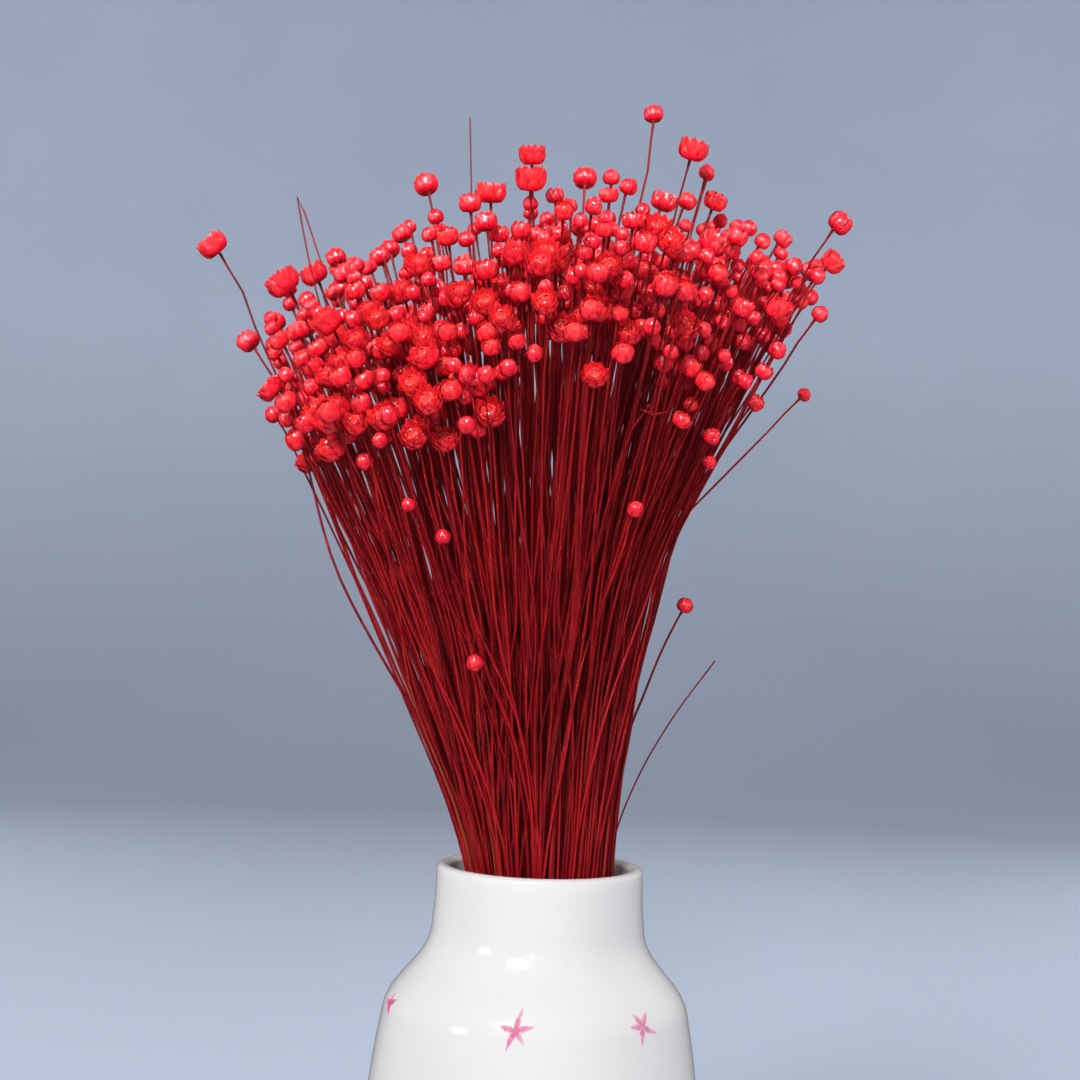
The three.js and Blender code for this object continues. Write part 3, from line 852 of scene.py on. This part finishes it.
def glaze_material():
    """Warm white glaze: pooled a little thicker here and there, bare ceramic under the foot."""
    n = Nodes("glaze")
    pooled = n.noise(28, 3)
    white = n.ramp(pooled, [(0.3, (0.485, 0.473, 0.466)), (0.7, (0.502, 0.49, 0.483))])
    specks = n.spread(n.noise(900, 1), 0, 1, 0.74, 0.8)
    white = n.mix(n.math("MULTIPLY", specks, 0.25), white, (0.48, 0.43, 0.4))
    bare = n.spread(n.height(), 1, 0, 0.0006, 0.0012)
    n.colour(n.mix(bare, white, (0.62, 0.5, 0.4)))
    n.rough(n.math("ADD", n.spread(n.noise(60, 2), 0.1, 0.2), n.math("MULTIPLY", bare, 0.5)))
    n.set(Specular_IOR_Level=0.15, Coat_Weight=0.2, Coat_Roughness=0.05)
    n.bump(n.math("ADD", n.noise(22, 1), n.math("MULTIPLY", n.noise(420, 2), 0.04)), 0.0006, 0.5)
    return n.material


def star_material():
    """Matte brushed crimson, thin and pale at the edges of a stroke."""
    n = Nodes("star_paint")
    along, across, tone = n.mark()
    edge = n.math("POWER", n.math("ABSOLUTE", across), 2.2)
    thin = n.math("ADD", edge, n.math("MULTIPLY", n.math("POWER", along, 1.6), 0.7))
    brushed = n.spread(n.noise(700, 3), -0.28, 0.28, 0.3, 0.7)
    thin = n.math("ADD", thin, brushed, clamp_it=True)
    paint = n.ramp(thin, [(0.1, (0.38, 0.05, 0.13)), (0.45, (0.46, 0.18, 0.27)), (1.0, (0.54, 0.48, 0.49))])
    n.colour(n.mix(n.math("MULTIPLY", tone, 0.3), paint, (0.53, 0.37, 0.42)))
    n.set(Roughness=0.5, Specular_IOR_Level=0.1)
    return n.material


def bract_material():
    """Dyed papery bracts, finely ribbed and waxy, with painted shade and painted light in their colour."""
    n = Nodes("flower_heads")
    along, across, tone = n.mark()
    depth = n.depth()
    blotch = n.spread(n.noise(900, 2), -0.14, 0.14, 0.3, 0.7)
    place_on = n.math("ADD", along, blotch, clamp_it=True)
    # Darker at each bract's base and coral at its tip: partly the bracts' own colour, partly painted shade
    # under each head and a painted highlight on the tips.
    red = n.ramp(place_on, [
        (0.0, (0.2, 0.0, 0.002)), (0.25, (0.7, 0.0, 0.01)),
        (0.52, (1.0, 0.0, 0.02)), (1.0, (1.0, 0.04, 0.04)),
    ])
    edge = n.math("POWER", n.math("ABSOLUTE", across), 3)
    # Painted shade: the lower edges of the bracts are darkened where one bract overlaps the next.
    low_edge_shade = n.math("MULTIPLY", edge, n.spread(along, 0.6, 0.0, 0.3, 0.85))
    red = n.mix(n.math("MULTIPLY", edge, 0.2), red, (1.0, 0.06, 0.05))
    red = n.mix(low_edge_shade, red, (0.38, 0.0, 0.012))
    red = n.mix(n.spread(tone, 0.0, 0.7), red, n.mix(1.0, red, (0.68, 0.1, 0.9), "MULTIPLY"))
    # Partly the paler colour of the inner bracts and florets, partly painted light: the deeper parts of a
    # head are lightened towards pale coral, where its hollow is in shade.
    inner = n.math("POWER", depth, 3)
    red = n.mix(n.math("MULTIPLY", inner, 0.6), red, (1.0, 0.1, 0.075))
    ribs = n.math("SINE", n.math("MULTIPLY", across, 17))
    n.colour(n.mix(n.spread(ribs, 0.0, 0.14, -1, 1), red, (0.5, 0.0, 0.014)))
    n.rough(n.spread(n.noise(1500, 2), 0.2, 0.36))
    n.set(Specular_IOR_Level=1.0, Specular_Tint=(1, 0.75, 0.76, 1))
    n.set(Coat_Weight=0.8, Coat_Roughness=0.1)
    wrinkle = n.math("MULTIPLY", n.noise(1700, 2), 1.6)
    n.bump(n.math("ADD", n.math("MULTIPLY", ribs, 0.5), wrinkle), 0.00016, 0.8)
    return n.material


def stem_material():
    """Dry, fine stems, dyed unevenly, with long pale streaks along the fibre, and painted shade that darkens
    them near the top.
    """
    n = Nodes("stems")
    along, _, tone = n.mark()
    dyed = n.ramp(tone, [
        (0.0, (0.085, 0.0, 0.002)), (0.4, (0.15, 0.0, 0.002)),
        (0.75, (0.21, 0.001, 0.003)), (1.0, (0.28, 0.005, 0.007)),
    ])
    streak = n.spread(n.noise(420, 3, 0.6, (1, 1, 0.06)), 0, 1, 0.42, 0.7)
    dyed = n.mix(n.math("MULTIPLY", streak, 0.25), dyed, (0.5, 0.02, 0.02))
    undyed = n.math("MULTIPLY", n.spread(tone, 0, 1, 0.93, 0.99), n.spread(along, 0.8, 0, 0.0, 0.3))
    dyed = n.mix(undyed, dyed, (0.13, 0.045, 0.012))
    # Painted shade: the stems darken towards the top, where the heads shade them.
    painted_canopy_shade = n.spread(along, 0.0, 0.4, 0.35, 0.9)
    n.colour(n.mix(painted_canopy_shade, dyed, (0.07, 0.0, 0.002)))
    n.rough(n.spread(n.noise(800, 2), 0.42, 0.62))
    n.set(Specular_IOR_Level=0.15)
    n.bump(n.noise(1800, 2, 0.5, (1, 1, 0.08)), 0.00005, 0.7)
    return n.material


def studio_material():
    """Plain matte paper. The floor is toned down, because it lies closer to the lights than the wall."""
    n = Nodes("studio_paper")
    paper = n.ramp(n.noise(6, 2), [(0.3, (0.51, 0.57, 0.67)), (0.7, (0.535, 0.595, 0.695))])
    n.colour(n.mix(n.spread(n.height(), 1, 0, 0.0, 0.5), paper, (0.32, 0.36, 0.435)))
    n.set(Roughness=0.9, Specular_IOR_Level=0.15)
    return n.material


# The studio.


def make_studio():
    """A round pale floor that curves up into a wall, far from the object."""
    middle_r, flat, bend, top = 0.4, 1.5, 0.9, 3.0
    turn = np.linspace(-math.pi / 2, 0, 13)
    curve = zip(flat + bend * np.cos(turn), bend + bend * np.sin(turn))
    profile = [(middle_r, 0), (flat, 0), *curve, (flat + bend, top)]
    sides = 96
    angle = np.arange(sides) / sides * TURN
    points = [(0.0, 0.0, 0.0)]
    points += [(r * math.cos(a), r * math.sin(a), z) for r, z in profile for a in angle]
    quads = [[v + 1 for v in reversed(face)] for face in ring_faces(len(profile), sides).tolist()]
    middle = [[0, 1 + k, 1 + (k + 1) % sides] for k in range(sides)]
    mesh = bpy.data.meshes.new("studio_floor")
    mesh.from_pydata(points, [], quads + middle)
    mesh.shade_smooth()
    mesh.materials.append(studio_material())
    floor = bpy.data.objects.new("studio_floor", mesh)
    bpy.context.scene.collection.objects.link(floor)
    floor.visible_glossy = False


def add_light(name, place_m, aim_m, size, power, colour=(1, 1, 1), glossy=True, spread=180):
    """A round soft light, narrowed by its spread. One that isn't glossy leaves no reflection."""
    data = bpy.data.lights.new(name, "AREA")
    data.shape = "DISK"
    data.size = size
    data.energy = power
    data.color = colour
    data.spread = math.radians(spread)
    light = bpy.data.objects.new(name, data)
    light.location = place_m
    light.rotation_euler = (Vector(aim_m) - Vector(place_m)).to_track_quat("-Z", "Y").to_euler()
    light.visible_camera = False
    light.visible_glossy = glossy
    bpy.context.scene.collection.objects.link(light)


def make_lights():
    """Soft lights round the object, and a dim sky.

    Only the key, left and heads lights leave reflections. The last is narrow, and aims at the heads."""
    aim = (0, 0, 0.24)
    low_aim = (0, 0, 0.08)
    add_light("key", (-0.45, -1.25, 1.1), aim, 0.5, 33, (1, 0.98, 0.95))
    add_light("left", (-1.2, -0.75, 0.5), aim, 0.25, 4.7)
    add_light("fill", (1.2, -0.9, 0.45), aim, 0.9, 11, (1, 0.98, 0.97), glossy=False)
    add_light("top", (0.15, 0.3, 1.5), aim, 0.6, 12.5, glossy=False)
    add_light("back right", (1.1, 0.9, 0.4), low_aim, 0.9, 11, glossy=False)
    add_light("back left", (-1.1, 0.9, 0.4), low_aim, 0.9, 9, glossy=False)
    add_light("heads", (-0.1, -1.2, 0.75), (0, -0.02, 0.34), 0.25, 0.1, spread=9)
    world = bpy.data.worlds.new("studio")
    bpy.context.scene.world = world
    world.use_nodes = True
    world.node_tree.nodes["Background"].inputs["Color"].default_value = (0.95, 0.97, 1, 1)
    world.node_tree.nodes["Background"].inputs["Strength"].default_value = 0.17
    world.cycles_visibility.glossy = False


def make_camera():
    data = bpy.data.cameras.new("camera")
    data.lens = CAMERA_LENS
    data.sensor_width = CAMERA_SENSOR
    data.clip_start = 0.01
    camera = bpy.data.objects.new("camera", data)
    camera.location = [MM * value for value in CAMERA_PLACE]
    camera.rotation_euler = (math.pi / 2, CAMERA_ROLL, 0)
    bpy.context.scene.collection.objects.link(camera)
    bpy.context.scene.camera = camera


def make_bunch(heads_material, stems_material):
    """For each bundle of the part, one piece of stems and one of heads, which stand for it."""
    stems = bunch()
    bows = bows_of(stems)
    for ring, (name, _, count) in enumerate(RINGS):
        for sector in range(count):
            node = name if count == 1 else f"{name}_{sector + 1:02d}"
            own = [stem for stem in stems if stem["ring"] == ring and stem["sector"] == sector]
            tubes, heads = Shape(), Shape()
            paths = np.array([stem_path(stem, bows.get(stem["index"])) for stem in own])
            radii = np.array([stem_radii(stem, paths.shape[1]) for stem in own])
            add_tubes(tubes, paths, radii, [chance(stem["index"], 10) for stem in own])
            if ring == 0:
                loose = loose_paths()
                thin = np.full(loose.shape[:2], STEM_TOP_R * 0.8)
                add_tubes(tubes, loose, thin, [0.4 + 0.1 * k for k in range(len(loose))])
            for stem in own:
                if stem["radius"] > 0:
                    add_head(heads, stem)
            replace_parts(tubes.piece(node + "_stems", stems_material, "stems"), node)
            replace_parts(heads.piece(node + "_heads", heads_material, "flower_heads"), node)


make_camera()
make_lights()
make_studio()
make_vase(glaze_material())
make_stars(star_material())
make_bunch(bract_material(), stem_material())
bpy.context.scene.view_settings.view_transform = "Standard"
